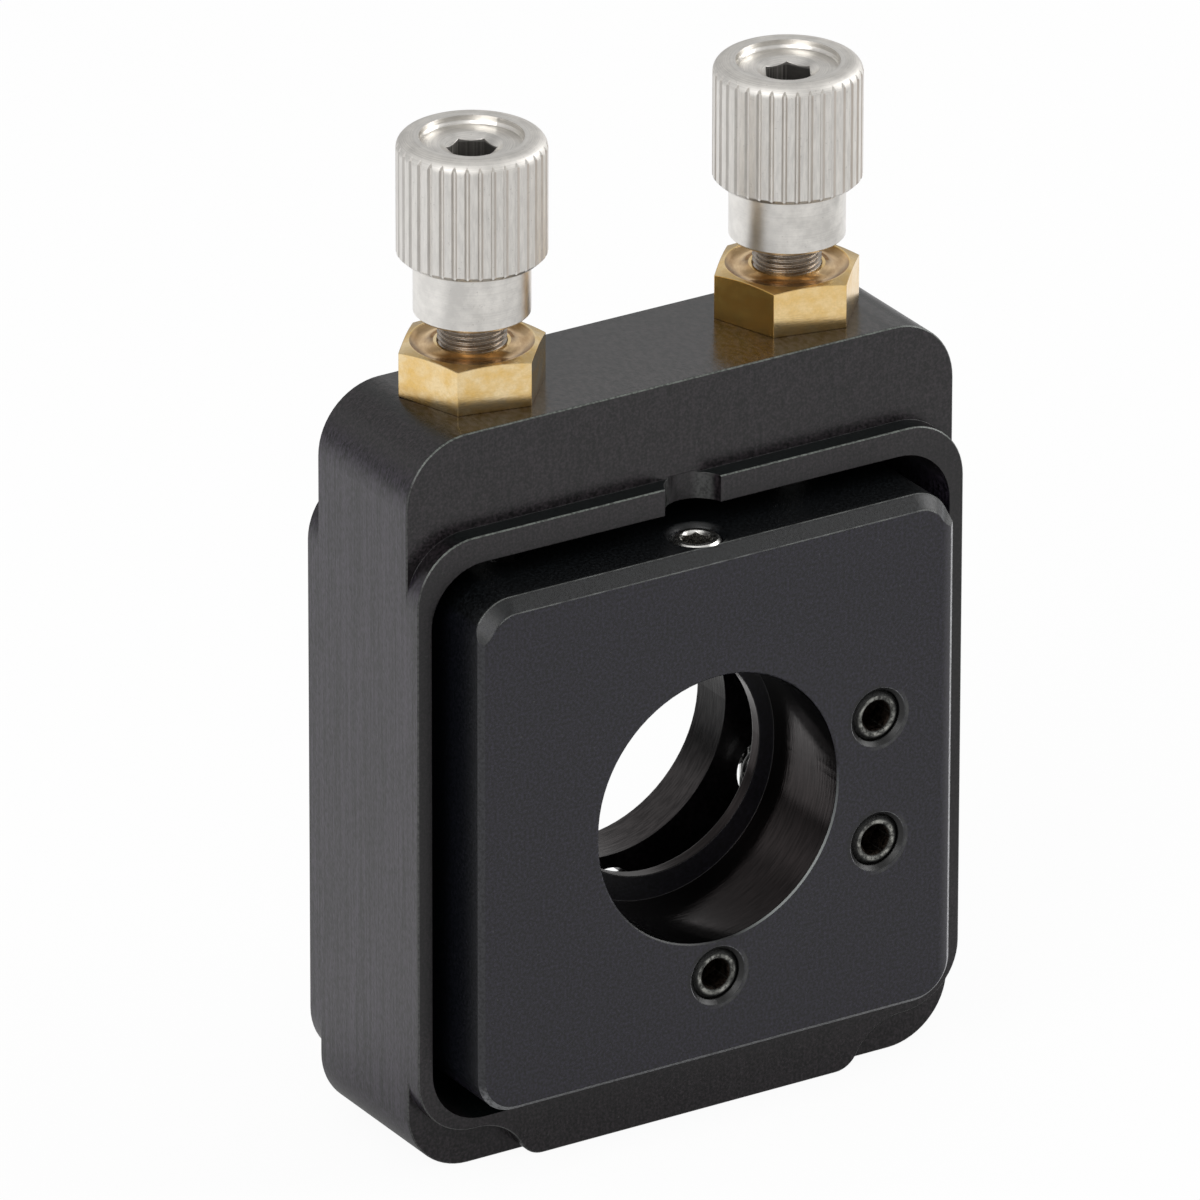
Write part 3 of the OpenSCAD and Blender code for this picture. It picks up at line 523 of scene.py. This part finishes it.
def piece(name, bm, material, body, node, bend=None):
    """New piece on one body. Where bend is given, body names two and bend holds the y in mm at which
    the piece would leave the first body and join the second; neither is used, and the piece is only
    baked in place."""
    bmesh.ops.recalc_face_normals(bm, faces=bm.faces)
    for f in bm.faces:
        f.smooth = True
    o = mesh_object(name, bm, M[material])
    o.data.set_sharp_from_angle(angle=math.radians(SHARP_ANGLE))
    if bend is None:
        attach(o, body)
    else:
        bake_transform(o)
    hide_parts(node)


def fine_thread(name, cx, body, node):
    """The adjuster's screw with its 60 degree thread, one helical grid closed at both ends."""
    crest, flank, root = SCREW_R, SCREW_R - THREAD_DEPTH / 2, SCREW_R - THREAD_DEPTH
    profile = [(crest, 0.0), (crest, 0.14), (flank, 0.32), (root, 0.50), (root, 0.60), (flank, 0.82)]
    end_r = SCREW_R - THREAD_RAMP
    weld, sliver = 2e-6, 1e-6
    bm = bmesh.new()
    rows = []
    for turn in range(-1, int((SCREW_HIGH - SCREW_LOW) / SCREW_PITCH) + 2):
        for height, level in profile:
            row = []
            for j in range(THREAD_STEPS + 1):
                z = SCREW_LOW + SCREW_PITCH * (turn + level + j / THREAD_STEPS)
                z = min(max(z, SCREW_LOW), SCREW_HIGH)
                r = min(height, end_r + z - SCREW_LOW, end_r + SCREW_HIGH - z)
                a = 2 * math.pi * j / THREAD_STEPS
                row.append(bm.verts.new(((cx + r * math.cos(a)) * MM,
                                         (ADJUSTER_Y + r * math.sin(a)) * MM, z * MM)))
            rows.append(row)
    for low, high in zip(rows, rows[1:]):
        for j in range(THREAD_STEPS):
            bm.faces.new((low[j], low[j + 1], high[j + 1], high[j]))
    bmesh.ops.remove_doubles(bm, verts=bm.verts, dist=weld)
    bmesh.ops.dissolve_degenerate(bm, dist=sliver, edges=bm.edges)
    bmesh.ops.holes_fill(bm, edges=[e for e in bm.edges if e.is_boundary], sides=0)
    piece(name, bm, "thread", body, node)


def spring_path():
    """Middle line of a spring in mm: coils round Y, then a half loop over its cross pin."""
    path = []
    for i in range(COIL_STEPS * SPRING_COILS):
        a = 2 * math.pi * i / COIL_STEPS
        y = SPRING_Y0 + (SPRING_Y1 - SPRING_Y0) * i / COIL_STEPS / SPRING_COILS
        path.append(Vector((SPRING_R * math.cos(a), y, SPRING_R * math.sin(a))))
    # a cubic curve from the last coil to the hook
    a, b = Vector((SPRING_R, SPRING_Y1, 0)), Vector((SPRING_R, SPRING_Y1 + 0.05, 0.55))
    c, d = Vector((HOOK_R, CROSS_PIN_Y - 0.5, 0.1)), Vector((HOOK_R, CROSS_PIN_Y, 0))
    for i in range(11):
        u = i / 10
        path.append((1 - u) ** 3 * a + 3 * u * (1 - u) ** 2 * b + 3 * u * u * (1 - u) * c + u ** 3 * d)
    for i in range(1, HOOK_STEPS + 1):
        t = math.radians(200 * i / HOOK_STEPS)
        path.append(Vector((HOOK_R * math.cos(t), CROSS_PIN_Y + HOOK_R * math.sin(t), 0)))
    return path


def spring(name, cx, cz, turned):
    """Two pieces that meet in the middle coil. The plate turns on the pivot and the pivot on the
    frame; the front piece is given the pivot and the plate, the rear one the frame and the pivot, with
    the y span over which each would bend, but piece() leaves both unattached. A turned spring hooks
    over a level cross pin, the others over an upright one."""
    path = spring_path()
    rings, side = [], None
    for i, p in enumerate(path):
        t = (path[min(i + 1, len(path) - 1)] - path[max(i - 1, 0)]).normalized()
        side = (t.cross(Vector((0, 1, 0))) if side is None else side - side.dot(t) * t).normalized()
        other = t.cross(side)
        ring = []
        for k in range(WIRE_STEPS):
            a = 2 * math.pi * k / WIRE_STEPS
            q = p + WIRE_R * (math.cos(a) * side + math.sin(a) * other)
            if turned:
                q = Vector((q.z, q.y, -q.x))
            ring.append(((q.x + cx) * MM, q.y * MM, (q.z + cz) * MM))
        rings.append(ring)
    half = COIL_STEPS * SPRING_COILS // 2
    middle = path[half].y
    for part, rows, bodies, bend in (
            ("front", rings[:half + 1], ("pivot", "plate"), (middle, SPRING_Y0 + FRONT_GRIP)),
            ("rear", rings[half:], ("frame", "pivot"), (SPRING_Y1 - REAR_GRIP, middle))):
        bm = bmesh.new()
        loops = [[bm.verts.new(co) for co in ring] for ring in rows]
        for p, q in zip(loops, loops[1:]):
            for k in range(WIRE_STEPS):
                k2 = (k + 1) % WIRE_STEPS
                bm.faces.new((p[k], p[k2], q[k2], q[k]))
        bm.faces.new(loops[0])
        bm.faces.new(loops[-1][::-1])
        piece("spring_wire_" + name + "_" + part, bm, "wire", bodies, "spring_" + name, bend)


for sign, hand in ((-1, "left"), (1, "right")):
    fine_thread("fine_screw_" + hand, sign * ADJUSTER_X, hand + "_adjuster", "screw_" + hand)
for name, (cx, cz) in SPRINGS.items():
    spring(name, cx, cz, name == "bottom")


# ---------------------------------------------------------------- stage, in metres
FLOOR_HALF, SOFTBOX_SIZE = 1.6, 0.4


def floor_material():
    """White to the camera. In reflections it carries a painted shadow: darker close to the object and
    in front of it.
    """
    m = Mat("floor_white")
    rays = m.n("ShaderNodeLightPath").outputs
    (_, y_min, _), (x_max, y_max, _) = cad_box
    dx = m.max(m.sub(m.abs(m.x), x_max), 0.0)
    dy = m.max(m.max(m.sub(y_min, m.y), m.sub(m.y, y_max)), 0.0)
    away = m.length(dx, dy)
    # painted shadow seen in reflections: darker near the object and in a band in front of it
    near = m.mul(m.span(away, 0.0, 0.008, 0.42, 0.96), m.span(away, 0.12, 0.35, 1.0, 0.5))
    front = m.add(m.span(m.y, -0.086, -0.068, 1.0, 0.76), m.span(m.y, -0.005, 0.02, 0, 0.28))
    dim = m.mul(near, front)
    glossy = rays["Is Glossy Ray"]
    em = m.n("ShaderNodeEmission")
    em.inputs["Color"].default_value = (1, 1, 1, 1)
    m.link(m.add(m.mul(glossy, dim), m.rest(glossy)), em.inputs["Strength"])
    v = m.noise(m.scaled(0.02, 0.02, 0.02), 2, 0.5)
    m.done(m.mix(v, (0.86, 0.86, 0.86), (0.9, 0.9, 0.9)), 0.9, 0.0)
    # lit by itself where it is seen, a plain pale floor for all other light
    seen = m.math("ADD", rays["Is Camera Ray"], m.add(glossy, rays["Is Transmission Ray"]), clamp=True)
    mx = m.n("ShaderNodeMixShader")
    m.link(m.add(m.mul(seen, 0.88), m.mul(rays["Is Camera Ray"], 0.06)), mx.inputs[0])
    m.link(m.b.outputs[0], mx.inputs[1])
    m.link(em.outputs[0], mx.inputs[2])
    m.link(mx.outputs[0], m.out.inputs[0])
    return m.m


def stage_floor():
    half, z = FLOOR_HALF, cad_box[0][2]
    corners = ((-half, -half), (half, -half), (half, half), (-half, half))
    bm = bmesh.new()
    bm.faces.new([bm.verts.new((x, y, z)) for x, y in corners])
    mesh_object("floor", bm, floor_material())


def studio_world():
    """A plain pale surround. Its strength goes by height: from_low, from_high, low, high."""
    darker_overhead = (0.42, 0.55, 0.80, 0.46)
    darker_at_horizon = (0.03, 0.38, 0.38, 1.0)
    added_at_zenith = (0.78, 0.92, 0.0, 0.27)
    world = bpy.data.worlds.new("studio")
    scene.world = world
    world.use_nodes = True
    tree = world.node_tree
    tree.nodes.clear()
    out = tree.nodes.new("ShaderNodeOutputWorld")
    back = tree.nodes.new("ShaderNodeBackground")
    back.inputs[0].default_value = (1, 1, 1, 1)
    coords = tree.nodes.new("ShaderNodeTexCoord")
    split = tree.nodes.new("ShaderNodeSeparateXYZ")
    total = tree.nodes.new("ShaderNodeMath")
    total.operation = "MULTIPLY_ADD"
    tree.links.new(coords.outputs["Generated"], split.inputs[0])
    for i, limits in enumerate((darker_overhead, darker_at_horizon, added_at_zenith)):
        ramp = tree.nodes.new("ShaderNodeMapRange")
        for s, k in zip(ramp.inputs[1:5], limits):
            s.default_value = k
        tree.links.new(split.outputs[2], ramp.inputs[0])
        tree.links.new(ramp.outputs[0], total.inputs[i])
    tree.links.new(total.outputs[0], back.inputs[1])
    tree.links.new(back.outputs[0], out.inputs[0])


def softbox(name, loc, power):
    light = bpy.data.lights.new(name, "AREA")
    light.shape = "SQUARE"
    light.size = SOFTBOX_SIZE
    light.energy = power
    o = bpy.data.objects.new(name, light)
    scene.collection.objects.link(o)
    o.location = loc
    o.rotation_mode = "QUATERNION"
    o.rotation_quaternion = (-Vector(loc)).to_track_quat("-Z", "Y")


stage_floor()
studio_world()
softbox("softbox_left", (-0.5, -0.25, 0.35), 1.7)
softbox("softbox_right", (0.5, -0.15, 0.25), 1.6)
softbox("softbox_above", (-0.3, -0.38, 0.5), 0.5)

# ---------------------------------------------------------------- camera, fitted to the photograph
FOCAL_PX, PHOTO_PX, SENSOR = 18176.8, 1200, 36
AZIMUTH, ELEVATION, ROLL = (math.radians(v) for v in (-31.949, 24.391, 0.106))
DISTANCE, OFF_RIGHT, OFF_UP = 826.05, -5.418, 9.295

back = Vector((math.sin(AZIMUTH) * math.cos(ELEVATION), -math.cos(AZIMUTH) * math.cos(ELEVATION),
               math.sin(ELEVATION)))
right = Vector((math.cos(AZIMUTH), math.sin(AZIMUTH), 0))
up = back.cross(right)
rolled_right = right * math.cos(ROLL) + up * math.sin(ROLL)
rolled_up = up * math.cos(ROLL) - right * math.sin(ROLL)
loc = (right * OFF_RIGHT + up * OFF_UP + back * DISTANCE) * MM
cam = bpy.data.objects.new("camera", bpy.data.cameras.new("camera"))
scene.collection.objects.link(cam)
cam.data.sensor_width = SENSOR
cam.data.lens = FOCAL_PX / PHOTO_PX * SENSOR
cam.data.clip_start, cam.data.clip_end = 0.05, 20
cam.matrix_world = Matrix([(*row,) for row in zip(rolled_right, rolled_up, back, loc)]
                          + [(0, 0, 0, 1)])
scene.camera = cam
scene.view_settings.view_transform = "Standard"
